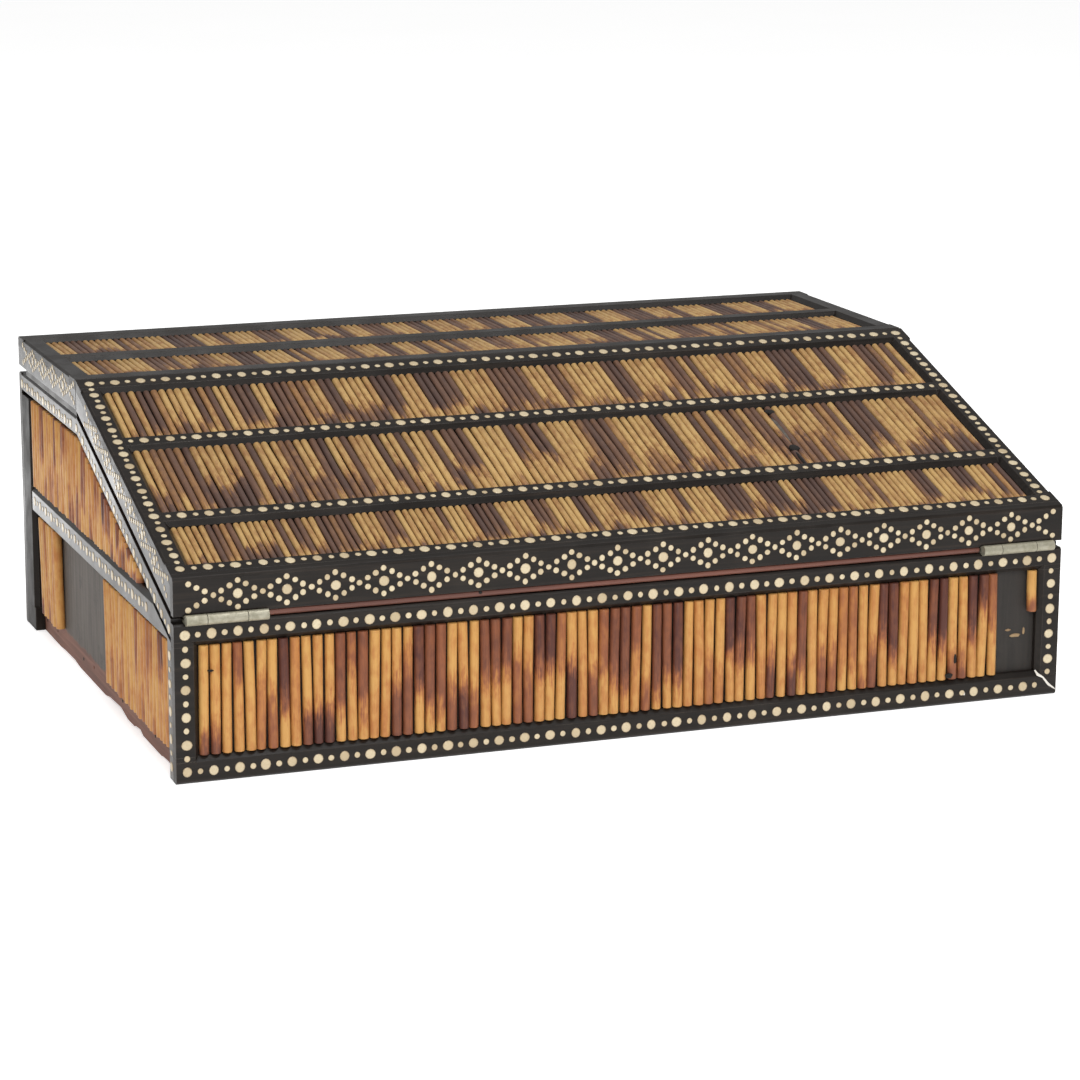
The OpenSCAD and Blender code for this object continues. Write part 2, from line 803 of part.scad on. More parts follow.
module slope_lining() {
    first = block_back;
    last = slope_end - band_t;
    deep = lid_deep + lining_t;
    color(velvet) along_x(-band_x, band_x, [[first, lid_z(first, -deep)],
        [last, lid_z(last, -deep)], [last, lid_z(last, -lid_deep)], [first, lid_z(first, -lid_deep)]]);
}

// Bone dots. They are drawn on the XY plane, and each one sits on the face of its strip.

module dot(d) {
    cylinder(h = dot_h, d = d, $fn = 16);
}

// A row of large dots from a to b with a small dot between each two, less its two end dots
// where they belong to the strips at its ends
module dot_row(a, b, pitch, with_ends) {
    count = round((b - a) / pitch);
    step = (b - a) / count;
    first = with_ends ? 0 : 1;
    for (i = [first : count - first]) translate([a + i * step, 0, 0]) dot(large_dot);
    for (i = [0 : count - 1]) translate([a + (i + 0.5) * step, 0, 0]) dot(small_dot);
}

// A run of lozenges that starts and ends on half ones, with a large dot in each whole one
module lozenges(room) {
    count = floor((room - lozenge_inset) / lozenge_len) - 1;
    for (k = [0 : 6 * (count + 1)]) {
        x = lozenge_inset + k * lozenge_len / 6;
        y = lozenge_r * abs(k % 6 - 3) / 3;
        translate([x, y, 0]) dot(small_dot);
        if (y > 0) translate([x, -y, 0]) dot(small_dot);
    }
    for (i = [1 : count]) translate([lozenge_inset + i * lozenge_len, 0, 0]) dot(large_dot);
}

// Places what is drawn as [x, height] on the front face.
module on_front() {
    translate([0, -case_d / 2, 0]) rotate([90, 0, 0]) children();
}

module front_dots() {
    corner = half_w - dot_inset;
    low = dot_inset + 0.4;
    high = front_h - dot_inset;
    color(bone) on_front() {
        for (z = [low, high]) translate([0, z, 0]) dot_row(-corner, corner, dot_pitch, true);
        for (x = [-corner, corner])
            translate([x, 0, 0]) rotate([0, 0, 90]) dot_row(low, high, dot_pitch, false);
    }
}

module slope_dots() {
    side = half_w - lid_stile_w / 2;
    top = lid_len - dot_inset;
    color(bone) on_slope() {
        for (s = [lid_dot_inset, top])
            translate([0, s, 0]) dot_row(-side, side, dot_pitch, true);
        for (s = [lower_bar_s, upper_bar_s])
            translate([0, s, 0]) dot_row(-side, side, dot_pitch, false);
        for (x = [-side, side])
            translate([x, 0, 0]) rotate([0, 0, 90])
                dot_row(lid_dot_inset, top, end_dot_pitch, false);
    }
}

module band_dots() {
    middle = (lid_low(0) + lid_front_h) / 2;
    color(bone) on_front() translate([-half_w, middle, 0]) lozenges(case_w);
}

// Flat lid

bed_z = total_h - lid_strip_t;
board_z = bed_z - lid_board_t;
flat_deep = case_d - flat_start;

module flat_board() {
    color(carcass)
        board(-band_x, band_x, flat_start + band_t, case_d - band_t, board_z, bed_z);
}

module flat_block() {
    color(carcass) difference() {
        board(-block_x, block_x, case_d - block_back, case_d - band_t, flat_z, board_z);
        rear_hinges() screw_hole(slot_h / 2 - leaf_t, 1);
    }
}

module flat_bands() {
    color(ebony) difference() {
        union() {
            both_sides() board(-half_w, -band_x, flat_start + band_t + joint,
                case_d - band_t - joint, flat_z, bed_z);
            board(-half_w, half_w, flat_start, flat_start + band_t, flat_z, bed_z);
            board(-half_w, half_w, case_d - band_t, case_d, flat_z, bed_z);
        }
        rear_hinges() barrel_room();
    }
}

module flat_bead() {
    low = flat_z - bead_h;
    color(ebony) {
        at_back() nose_bead(hinge_room - half_w, half_w - hinge_room, bead_face,
            bead_face + bead_d, low, flat_z);
        both_sides() board(bead_face - half_w, bead_face + bead_d - half_w, flat_start,
            case_d - side_bead_start, low, flat_z);
    }
}

// Places what is drawn as [x, behind the front of the flat lid, above its face].
module on_flat() {
    translate([0, flat_start - case_d / 2, total_h]) children();
}

// A strip along the front of the flat lid, drawn in the frame of its face
module flat_rail() {
    translate([-half_w, 0, 0]) rotate([90, 0, 90]) linear_extrude(case_w)
        polygon([[0, -lid_strip_t], [0, -edge_bevel], [edge_bevel, 0],
            [flat_rail_w - strip_bevel, 0], [flat_rail_w, -strip_bevel],
            [flat_rail_w, -lid_strip_t]]);
}

module flat_frame() {
    color(ebony) on_flat() {
        flat_rail();
        translate([0, flat_deep, 0]) mirror([0, 1, 0]) flat_rail();
        both_sides() lid_stile(flat_rail_w + joint, flat_deep - flat_rail_w - joint);
    }
}

module flat_bar() {
    color(ebony) on_flat() lid_bar(flat_deep / 2);
}

module flat_front_quills() {
    color(quill_tan) on_flat()
        quill_row(flat_rail_w, flat_deep / 2 - bar_w / 2, thin_quill_d, thin_pitch);
}

module flat_back_quills() {
    color(quill_tan) on_flat()
        quill_row(flat_deep / 2 + bar_w / 2, flat_deep - flat_rail_w, thin_quill_d, thin_pitch);
}

module flat_lining() {
    color(velvet) board(-band_x, band_x, flat_start + band_t, case_d - block_back,
        board_z - lining_t, board_z);
}

bottom_board();
front_wall();
back_wall();
left_wall();
right_wall();
front_top_rail();
front_bottom_rail();
front_stiles();
front_quills();
left_frame();
left_upper_quills();
left_lower_quills();
right_frame();
right_upper_quills();
right_lower_quills();
back_frame();
back_quills();
well_lining();
front_partition();
rear_partition();
ink_shelf();
ink_walls();
pen_trough();
letter_dividers();
front_case_leaves();
rear_case_leaves();
front_hinge_pins();
rear_hinge_pins();
case_hinge_screws();
front_dots();
slope_board();
slope_block();
slope_band();
slope_edges();
slope_bead();
slope_frame();
slope_bars();
slope_front_quills();
slope_middle_quills();
slope_upper_quills();
slope_lining();
slope_leaves();
slope_screws();
slope_dots();
band_dots();
flat_board();
flat_block();
flat_bands();
flat_bead();
flat_frame();
flat_bar();
flat_front_quills();
flat_back_quills();
flat_lining();
flat_leaves();
flat_screws();
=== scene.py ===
"""A slope-front stationery box of ebony, porcupine quill and bone, dressed around its CAD frame.

Sizes are metres. The front of the box faces -Y, and its underside is at Z 0.
"""

import math
import random

import bmesh
import bpy
import numpy as np
from mathutils import Matrix, Vector


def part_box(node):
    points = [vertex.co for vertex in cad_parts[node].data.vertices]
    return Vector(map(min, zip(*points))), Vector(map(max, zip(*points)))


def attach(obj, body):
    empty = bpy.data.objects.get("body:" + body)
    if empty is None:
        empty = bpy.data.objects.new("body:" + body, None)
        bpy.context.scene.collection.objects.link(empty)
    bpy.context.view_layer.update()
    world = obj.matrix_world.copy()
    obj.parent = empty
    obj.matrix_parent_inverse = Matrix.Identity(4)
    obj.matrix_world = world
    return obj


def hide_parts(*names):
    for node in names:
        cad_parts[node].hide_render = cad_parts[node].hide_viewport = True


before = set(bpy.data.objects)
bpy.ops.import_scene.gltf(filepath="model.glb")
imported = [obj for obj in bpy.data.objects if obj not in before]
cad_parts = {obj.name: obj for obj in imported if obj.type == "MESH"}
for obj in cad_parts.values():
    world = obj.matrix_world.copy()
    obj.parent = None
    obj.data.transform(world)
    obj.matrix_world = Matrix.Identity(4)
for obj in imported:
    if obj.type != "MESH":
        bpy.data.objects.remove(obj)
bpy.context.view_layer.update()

MM = 0.001
WELD = 0.002 * MM
UP = Vector((0, 0, 1))
OUT_FRONT = Vector((0, -1, 0))
OUT_BACK = Vector((0, 1, 0))
OUT_LEFT = Vector((-1, 0, 0))
OUT_RIGHT = Vector((1, 0, 0))

# The photograph's camera, in the frame of the box
CAMERA_PLACE = Vector((-0.562246, -1.514902, 0.442235))
CAMERA_AZIMUTH = math.radians(-20.654)
CAMERA_ELEVATION = math.radians(13.399)
CAMERA_ROLL = math.radians(0.269)
CAMERA_LENS = 115.762

# Bone dots
DOT_SIDES = 12
LARGE_DOT = 4.6 * MM
SMALL_DOT = 2.7 * MM
DOT_HEIGHT = 0.26 * MM
DOT_SUNK = 0.05 * MM
DOT_SLIP = 0.16 * MM
DOT_PITCH = 12 * MM
LOZENGE_LEN = 21.5 * MM
END_LOZENGE_RISE = 4.3 * MM
# The dots were set by eye: the middle of a long row on the front lies left of even spacing,
# and so do the lozenges of the band
ROW_DRIFT = 5 * MM
BAND_DRIFT = 1.8 * MM
CORNER_DOT = 205.2 * MM
# Lines of dots on the sides and the back: heights of the rails and depths of the uprights
BOTTOM_LINE = 5.8 * MM
MIDDLE_LINE = 66.7 * MM
TOP_LINE = 121.4 * MM
FRONT_UPRIGHT_LINE = -138.2 * MM
REAR_UPRIGHT_LINE = 132.7 * MM

# Strips of ebony
STRIP_BEVEL = 2.2 * MM
EASED_EDGE = 0.25 * MM
LID_STRIP_T = 4.7 * MM
REAR_UPRIGHT_W = 17.1 * MM
TOP_RAIL_LOW = 116.25 * MM

# Quills
QUILL_SIDES = 12
QUILL_END = 0.25 * MM
QUILL_TIP = 0.93
# Quills are laid row by row, in steps of this height
ROW_STEP = 30 * MM


# Reading the frame


def loose_solids(node):
    """The vertices of each separate solid of a CAD node, as arrays."""
    bm = bmesh.new()
    bm.from_mesh(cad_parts[node].data)
    bmesh.ops.remove_doubles(bm, verts=bm.verts, dist=WELD)
    seen = set()
    found = []
    for start in bm.verts:
        if start in seen:
            continue
        seen.add(start)
        group = [start]
        for vertex in group:
            for edge in vertex.link_edges:
                other = edge.other_vert(vertex)
                if other not in seen:
                    seen.add(other)
                    group.append(other)
        found.append(np.array([v.co for v in group]))
    bm.free()
    return found


def rods(node):
    """Middle, direction, length and radius of each rod of a CAD node."""
    made = []
    for points in loose_solids(node):
        middle = points.mean(0)
        spread = points - middle
        axis = np.linalg.eigh(spread.T @ spread)[1][:, 2]
        if axis[2] < -0.1 or (abs(axis[2]) <= 0.1 and axis[1] < 0):
            axis = -axis
        along = spread @ axis
        across = spread - np.outer(along, axis)
        radius = float(np.linalg.norm(across, axis=1).max())
        made.append((Vector(middle), Vector(axis), float(np.ptp(along)), radius))
    return made


def discs(node, outward):
    """Middle of the lower face, direction and diameter of each disc of a CAD node."""
    made = []
    for points in loose_solids(node):
        middle = points.mean(0)
        spread = points - middle
        axis = np.linalg.eigh(spread.T @ spread)[1][:, 0]
        if Vector(axis).dot(outward) < 0:
            axis = -axis
        along = spread @ axis
        across = spread - np.outer(along, axis)
        base = middle + axis * along.min()
        made.append((Vector(base), Vector(axis), 2 * float(np.linalg.norm(across, axis=1).max())))
    return made


def strips(node):
    """Lowest and highest corner of each strip of a CAD node, from the longest to the shortest."""
    boxes = [(Vector(p.min(0)), Vector(p.max(0))) for p in loose_solids(node)]
    return sorted(boxes, key=lambda b: -(b[1] - b[0]).length)


# Finishes


def new_finish(name):
    """A new material, its node tree and its shader."""
    finish = bpy.data.materials.new(name)
    finish.use_nodes = True
    return finish, finish.node_tree, finish.node_tree.nodes["Principled BSDF"]


def add(tree, kind, **values):
    """A new shader node with its settings and unlinked inputs set."""
    made = tree.nodes.new(kind)
    for key, value in values.items():
        name = key.replace("_", " ").title()
        if name in made.inputs:
            made.inputs[name].default_value = value
        else:
            setattr(made, key, value)
    return made


def stretched(tree, scale, turn=(0, 0, 0)):
    """Object coordinates, turned and then stretched."""
    place = add(tree, "ShaderNodeTexCoord")
    turned = add(tree, "ShaderNodeMapping", rotation=turn)
    sized = add(tree, "ShaderNodeMapping", scale=scale)
    tree.links.new(place.outputs["Object"], turned.inputs["Vector"])
    tree.links.new(turned.outputs["Vector"], sized.inputs["Vector"])
    return sized.outputs["Vector"]


def attribute(tree, name):
    """A stored attribute of the piece."""
    return add(tree, "ShaderNodeAttribute", attribute_name=name)


def noise(tree, vector, scale, detail=3.0, roughness=0.55, distortion=0.0):
    """Cloudy noise, from 0 to 1."""
    made = add(
        tree, "ShaderNodeTexNoise", scale=scale, detail=detail, roughness=roughness, distortion=distortion
    )
    tree.links.new(vector, made.inputs["Vector"])
    return made.outputs["Fac"]


def ramp(tree, value, stops):
    """Colours along a value; stops are (place, colour)."""
    made = add(tree, "ShaderNodeValToRGB")
    elements = made.color_ramp.elements
    while len(elements) < len(stops):
        elements.new(1.0)
    for element, (place, colour) in zip(elements, stops):
        element.position = place
        element.color = (*colour, 1.0)
    tree.links.new(value, made.inputs["Fac"])
    return made.outputs["Color"]


def remap(tree, value, low, high, to_low=0.0, to_high=1.0):
    """The value's stretch from low to high, as to_low to to_high, smoothed at both ends."""
    made = add(tree, "ShaderNodeMapRange", interpolation_type="SMOOTHSTEP")
    for name, number in zip(("From Min", "From Max", "To Min", "To Max"), (low, high, to_low, to_high)):
        if isinstance(number, (int, float)):
            made.inputs[name].default_value = number
        else:
            tree.links.new(number, made.inputs[name])
    tree.links.new(value, made.inputs["Value"])
    return made.outputs["Result"]


def sum_up(tree, operation, first, second):
    """Arithmetic on two values, each a socket or a number."""
    made = add(tree, "ShaderNodeMath", operation=operation)
    for socket, number in zip(made.inputs, (first, second)):
        if isinstance(number, (int, float)):
            socket.default_value = number
        else:
            tree.links.new(number, socket)
    return made.outputs["Value"]


def mix(tree, amount, under, over):
    """Colour over laid on colour under by amount; each is a socket or a colour."""
    made = add(tree, "ShaderNodeMix", data_type="RGBA")
    # The sockets are taken by number, because their names repeat
    for socket, value in ((made.inputs[0], amount), (made.inputs[6], under), (made.inputs[7], over)):
        if isinstance(value, bpy.types.NodeSocket):
            tree.links.new(value, socket)
        elif isinstance(value, tuple):
            socket.default_value = (*value, 1.0)
        else:
            socket.default_value = value
    return made.outputs[2]


def rough_up(tree, shader, height, strength, depth, normal=None):
    """Bumps the surface by a height between 0 and 1."""
    made = add(tree, "ShaderNodeBump", strength=strength, distance=depth)
    tree.links.new(height, made.inputs["Height"])
    if normal is not None:
        tree.links.new(normal, made.inputs["Normal"])
    tree.links.new(made.outputs["Normal"], shader.inputs["Normal"])


def ebony_finish(name, turn=(0, 0, 0), shine=0.22, roughest=0.48):
    """Old polished ebony with grain along its local X, scratches, dust and rubbed edges. Its
    shine is the strength of its reflections, and roughest is how dull its dullest places are."""
    finish, tree, shader = new_finish(name)
    grain = noise(tree, stretched(tree, (14, 420, 420), turn), 1.0, 5.0, 0.62, 0.6)
    pores = noise(tree, stretched(tree, (120, 2600, 2600), turn), 1.0, 2.0)
    clouds = noise(tree, stretched(tree, (38, 38, 38), turn), 1.0, 4.0, 0.6)
    wood = ramp(
        tree,
        grain,
        [(0.25, (0.006, 0.0045, 0.0035)), (0.55, (0.012, 0.009, 0.007)), (0.82, (0.030, 0.021, 0.015))],
    )
    dusty = mix(tree, remap(tree, clouds, 0.5, 0.85, 0.0, 0.4), wood, (0.036, 0.031, 0.026))
    soft_edge = add(tree, "ShaderNodeBevel", samples=4, radius=0.45 * MM)
    flat_face = add(tree, "ShaderNodeNewGeometry")
    likeness = add(tree, "ShaderNodeVectorMath", operation="DOT_PRODUCT")
    tree.links.new(soft_edge.outputs["Normal"], likeness.inputs[0])
    tree.links.new(flat_face.outputs["Normal"], likeness.inputs[1])
    rubbed = remap(tree, likeness.outputs["Value"], 0.86, 0.995, 0.85, 0.0)
    rubbed = sum_up(tree, "MULTIPLY", rubbed, remap(tree, clouds, 0.35, 0.62))
    colour = mix(tree, rubbed, dusty, (0.085, 0.070, 0.058))
    tree.links.new(colour, shader.inputs["Base Color"])
    tree.links.new(remap(tree, clouds, 0.3, 0.75, 0.65 * roughest, roughest), shader.inputs["Roughness"])
    shader.inputs["IOR"].default_value = 1.5
    shader.inputs["Specular IOR Level"].default_value = shine
    height = sum_up(tree, "ADD", grain, sum_up(tree, "MULTIPLY", pores, 0.5))
    rough_up(tree, shader, height, 0.35, 0.12 * MM, soft_edge.outputs["Normal"])
    return finish


def quill_finish(name, pale, tan, brown, dark):
    """Varnished porcupine quill. The band attribute holds place along the quill, depth of
    the dark end, where it starts, and a number of the quill's own."""
    finish, tree, shader = new_finish(name)
    band = attribute(tree, "band")
    parts = add(tree, "ShaderNodeSeparateColor")
    tree.links.new(band.outputs["Color"], parts.inputs["Color"])
    own = attribute(tree, "fibre").outputs["Vector"]
    streaks = add(tree, "ShaderNodeMapping", scale=(1.7, 1.7, 0.1))
    tree.links.new(own, streaks.inputs["Vector"])
    fibres = noise(tree, streaks.outputs["Vector"], 1.0, 3.0, 0.6)
    blotches = add(tree, "ShaderNodeMapping", scale=(0.3, 0.3, 0.16))
    tree.links.new(own, blotches.inputs["Vector"])
    clouds = noise(tree, blotches.outputs["Vector"], 1.0, 3.0, 0.6)
    place = sum_up(tree, "ADD", parts.outputs["Red"], remap(tree, clouds, 0.2, 0.8, -0.06, 0.06))
    place = sum_up(tree, "ADD", place, remap(tree, fibres, 0.2, 0.8, -0.08, 0.08))
    starts = sum_up(tree, "SUBTRACT", parts.outputs["Blue"], 0.2)
    ends = sum_up(tree, "ADD", parts.outputs["Blue"], 0.2)
    depth = remap(tree, place, starts, ends)
    depth = sum_up(tree, "MULTIPLY", depth, parts.outputs["Green"])
    depth = sum_up(tree, "ADD", depth, remap(tree, clouds, 0.3, 0.8, -0.03, 0.16))
    depth = sum_up(tree, "ADD", depth, remap(tree, fibres, 0.25, 0.8, -0.05, 0.08))
    depth = sum_up(tree, "ADD", depth, sum_up(tree, "MULTIPLY", band.outputs["Alpha"], 0.14))
    colour = ramp(tree, depth, [(0.04, pale), (0.26, tan), (0.55, brown), (0.92, dark)])
    tree.links.new(colour, shader.inputs["Base Color"])
    tree.links.new(remap(tree, clouds, 0.25, 0.75, 0.36, 0.5), shader.inputs["Roughness"])
    shader.inputs["IOR"].default_value = 1.54
    shader.inputs["Specular IOR Level"].default_value = 0.22
    rough_up(tree, shader, fibres, 0.2, 0.08 * MM)
    return finish


def bone_finish():
    """Polished bone pegs, from ivory to yellow, with fine pores and a grimy rim."""
    finish, tree, shader = new_finish("bone")
    own = attribute(tree, "dot")
    parts = add(tree, "ShaderNodeSeparateColor")
    tree.links.new(own.outputs["Color"], parts.inputs["Color"])
    pores = noise(tree, stretched(tree, (1500, 1500, 1500)), 1.0, 3.0, 0.6)
    tone = ramp(
        tree,
        parts.outputs["Red"],
        [(0.0, (0.44, 0.345, 0.205)), (0.3, (0.52, 0.425, 0.27)), (1.0, (0.60, 0.51, 0.34))],
    )
    stained = mix(tree, remap(tree, pores, 0.45, 0.8, 0.0, 0.5), tone, (0.40, 0.28, 0.15))
    rim = remap(tree, parts.outputs["Green"], 0.8, 1.0, 0.0, 0.6)
    tree.links.new(mix(tree, rim, stained, (0.20, 0.13, 0.07)), shader.inputs["Base Color"])
    shader.inputs["Roughness"].default_value = 0.36
    shader.inputs["Coat Weight"].default_value = 0.2
    rough_up(tree, shader, pores, 0.25, 0.06 * MM)
    return finish


def raw_wood_finish(name, light, dark, roughness=0.75):
    """Bare or oiled wood with grain along its local X."""
    finish, tree, shader = new_finish(name)
    grain = noise(tree, stretched(tree, (10, 260, 260)), 1.0, 6.0, 0.65, 0.9)
    rings = noise(tree, stretched(tree, (4, 60, 60)), 1.0, 2.0, 0.5, 1.5)
    both = sum_up(tree, "ADD", sum_up(tree, "MULTIPLY", grain, 0.6), sum_up(tree, "MULTIPLY", rings, 0.4))
    tree.links.new(ramp(tree, both, [(0.3, dark), (0.7, light)]), shader.inputs["Base Color"])
    shader.inputs["Roughness"].default_value = roughness
    rough_up(tree, shader, grain, 0.5, 0.2 * MM)
    return finish


def ground_finish(name, ground_low, ground_high, bare_height):
    """A carcass board: raw red-brown wood up to bare_height, and over it the stained ground,
    smeared with old glue, on which the quills are laid."""
    finish, tree, shader = new_finish(name)
    grain = noise(tree, stretched(tree, (300, 10, 260)), 1.0, 6.0, 0.65, 0.9)
    upright = noise(tree, stretched(tree, (300, 300, 22)), 1.0, 5.0, 0.65, 0.4)
    clouds = noise(tree, stretched(tree, (70, 70, 70)), 1.0, 5.0, 0.65)
    raw = ramp(
        tree,
        grain,
        [(0.25, (0.045, 0.016, 0.010)), (0.5, (0.16, 0.062, 0.038)), (0.8, (0.27, 0.13, 0.085))],
    )
    ground = ramp(tree, upright, [(0.3, ground_low), (0.75, ground_high)])
    smeared = remap(tree, clouds, 0.56, 0.72, 0.0, 0.55)
    ground = mix(tree, smeared, ground, tuple(0.45 * c for c in ground_low))
    place = add(tree, "ShaderNodeTexCoord")
    axes = add(tree, "ShaderNodeSeparateXYZ")
    tree.links.new(place.outputs["Object"], axes.inputs["Vector"])
    height = sum_up(tree, "ADD", axes.outputs["Z"], remap(tree, clouds, 0.2, 0.8, -1.5 * MM, 1.5 * MM))
    amount = remap(tree, height, bare_height - 1 * MM, bare_height + 0.6 * MM)
    tree.links.new(mix(tree, amount, raw, ground), shader.inputs["Base Color"])
    shader.inputs["Roughness"].default_value = 0.7
    rough_up(tree, shader, sum_up(tree, "ADD", grain, clouds), 0.6, 0.25 * MM)
    return finish


def brass_finish():
    """Dull brass, grey-green with tarnish and bright where it is rubbed."""
    finish, tree, shader = new_finish("aged_brass")
    clouds = noise(tree, stretched(tree, (260, 260, 260)), 1.0, 5.0, 0.65)
    specks = noise(tree, stretched(tree, (1400, 1400, 1400)), 1.0, 3.0)
    metal = ramp(
        tree,
        clouds,
        [(0.3, (0.25, 0.235, 0.17)), (0.5, (0.33, 0.31, 0.235)), (0.72, (0.42, 0.395, 0.31))],
    )
    colour = mix(tree, remap(tree, specks, 0.55, 0.8, 0.0, 0.45), metal, (0.13, 0.12, 0.085))
    tree.links.new(colour, shader.inputs["Base Color"])
    shader.inputs["Metallic"].default_value = 0.55
    tree.links.new(remap(tree, clouds, 0.3, 0.7, 0.62, 0.42), shader.inputs["Roughness"])
    rough_up(tree, shader, specks, 0.35, 0.15 * MM)
    return finish


def velvet_finish():
    """Short dark red velvet, rubbed paler in patches."""
    finish, tree, shader = new_finish("lining_velvet")
    pile = noise(tree, stretched(tree, (2200, 2200, 2200)), 1.0, 2.0)
    rubbed = noise(tree, stretched(tree, (18, 30, 18)), 1.0, 4.0, 0.6)
    colour = ramp(tree, pile, [(0.3, (0.06, 0.010, 0.012)), (0.7, (0.15, 0.028, 0.032))])
    colour = mix(tree, remap(tree, rubbed, 0.5, 0.75, 0.0, 0.5), colour, (0.24, 0.09, 0.08))
    tree.links.new(colour, shader.inputs["Base Color"])
    shader.inputs["Roughness"].default_value = 0.95
    shader.inputs["Sheen Weight"].default_value = 0.6
    shader.inputs["Sheen Roughness"].default_value = 0.4
    rough_up(tree, shader, pile, 0.6, 0.3 * MM)
    return finish


def floor_finish():
    """A pale matt floor with the faintest unevenness."""
    finish, tree, shader = new_finish("floor_paper")
    clouds = noise(tree, stretched(tree, (3, 3, 3)), 1.0, 3.0)
    tone = ramp(tree, clouds, [(0.2, (0.90, 0.90, 0.895)), (0.8, (0.93, 0.93, 0.93))])
    tree.links.new(tone, shader.inputs["Base Color"])
    shader.inputs["Roughness"].default_value = 0.9
    shader.inputs["Emission Color"].default_value = (1, 1, 1, 1)
    shader.inputs["Emission Strength"].default_value = 0.55
    return finish


# Shapes


def finish_piece(name, bm, finish, body, replaced=(), smooth=True):
    """Makes a bmesh into a piece of the box that rides on a body."""
    mesh = bpy.data.meshes.new(name)
    bm.to_mesh(mesh)
    bm.free()
    if smooth:
        mesh.shade_smooth()
    mesh.materials.append(finish)
    piece = bpy.data.objects.new(name, mesh)
    bpy.context.scene.collection.objects.link(piece)
    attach(piece, body)
    if replaced:
        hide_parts(*replaced)


def facing(direction, place):
    """The matrix that puts local Z along a direction at a place."""
    return Matrix.Translation(place) @ direction.to_track_quat("Z", "Y").to_matrix().to_4x4()


def quill_blank():
    """A rod of radius 1 and length 1 with three rings along it."""
    bm = bmesh.new()
    bmesh.ops.create_cone(bm, cap_ends=True, segments=QUILL_SIDES, radius1=1, radius2=1, depth=1)
    long_edges = [e for e in bm.edges if abs(e.verts[0].co.z - e.verts[1].co.z) > 0.5]
    bmesh.ops.subdivide_edges(bm, edges=long_edges, cuts=3, use_grid_fill=True)
    blank = bpy.data.meshes.new("quill_blank")
    bm.to_mesh(blank)
    bm.free()
    return blank


def dot_blank():
    """A disc of radius 1 from Z 0 to Z 0.92, domed by a sloping shoulder."""
    bm = bmesh.new()
    bmesh.ops.create_circle(bm, cap_ends=True, segments=DOT_SIDES, radius=1)
    top = bm.faces[:]
    side = bmesh.ops.extrude_face_region(bm, geom=top)
    raised = [g for g in side["geom"] if isinstance(g, bmesh.types.BMVert)]
    bmesh.ops.translate(bm, verts=raised, vec=(0, 0, 0.62))
    cap = [f for f in bm.faces if all(v in raised for v in f.verts)]
    bmesh.ops.inset_region(bm, faces=cap, thickness=0.34, depth=0.3)
    bmesh.ops.recalc_face_normals(bm, faces=bm.faces)
    blank = bpy.data.meshes.new("dot_blank")
    bm.to_mesh(blank)
    bm.free()
    return blank


def crowded(places, share):
    """The same row laid with share times as many quills, each thinner by as much, on the same
    board and between the same ends."""
    first, last = places[0], places[-1]
    axis, length, radius = first[1], first[2], first[3] / share
    lowered = Vector((1, 0, 0)).cross(axis) * (first[3] - radius)
    wider = Vector((first[3] - radius, 0, 0))
    start, end = first[0] - wider - lowered, last[0] + wider - lowered
    count = round(len(places) * share)
    return [(start.lerp(end, i / (count - 1)), axis, length, radius) for i in range(count)]


def add_quill(bm, band, fibre, rod, habit):
    """Adds one quill in the place of a rod, bent, tapered and banded by its own habit."""
    middle, axis, length, radius = rod
    half = length / 2
    stations = {-2: -half, -1: QUILL_END - half, 0: 0.0, 1: half - QUILL_END, 2: half}
    turn = facing(axis, middle)
    roll = Matrix.Rotation(habit["roll"], 3, "Z")
    own = habit["own"]
    first = len(bm.verts)
    bm.from_mesh(QUILL)
    bm.verts.ensure_lookup_table()
    for vertex in bm.verts[first:]:
        x, y, z = vertex.co
        ring = round(z * 4)
        share = stations[ring] / half
        width = radius * habit["thick"] * (1 + habit["taper"] * share)
        if abs(ring) == 2:
            width *= QUILL_TIP
        local = roll @ Vector((x * width, y * width, 0))
        local.z = stations[ring]
        local += habit["bow"] * (1 - share * share)
        local.x += habit["lean"] * share
        place = 0.5 + 0.5 * share
        if habit["flipped"]:
            place = 1 - place
        # The number of its own also moves each quill to another part of the noise
        vertex[band] = (place, habit["depth"], habit["start"], own)
        vertex[fibre] = (local.x / MM + 70 * own, local.y / MM + 31 * own, local.z / MM + 400 * own)
        vertex.co = turn @ local


def lay_quills(name, node, finish, body, look, seed):
    """Bent, banded quills in the places of a CAD node's rods. Neighbours come in bundles that
    lie the same way round, because they were cut from the same quills."""
    dice = random.Random(seed)
    bm = bmesh.new()
    band = bm.verts.layers.float_color.new("band")
    fibre = bm.verts.layers.float_vector.new("fibre")
    places = sorted(rods(node), key=lambda rod: (round(rod[0].z / ROW_STEP), rod[0].x, rod[0].y))
    if "crowd" in look:
        places = crowded(places, look["crowd"])
    left_in_bundle = 0
    flipped = False
    for rod in places:
        if left_in_bundle == 0:
            left_in_bundle = dice.choice(look["bundle"])
            flipped = not flipped
            bundle_start = dice.uniform(*look["start"][flipped])
            bundle_depth = dice.uniform(*look["depth"])
        left_in_bundle -= 1
        depth = min(1.0, max(0.0, bundle_depth + dice.uniform(-0.2, 0.2)))
        if dice.random() < look["plain"]:
            depth *= 0.15
        bow = look["bow"]
        habit = {
            "flipped": flipped,
            "depth": depth,
            "start": bundle_start + dice.uniform(-0.17, 0.17),
            "own": dice.random(),
            "lean": dice.uniform(-1, 1) * look["lean"],
            "bow": Vector((dice.uniform(-1, 1) * bow, dice.uniform(-0.4, 0.6) * bow, 0)),
            "thick": dice.uniform(*look["thick"]),
            "taper": dice.uniform(-0.05, 0.05),
            "roll": dice.uniform(0, math.tau),
        }
        add_quill(bm, band, fibre, rod, habit)
    finish_piece(name, bm, finish, body, (node,))


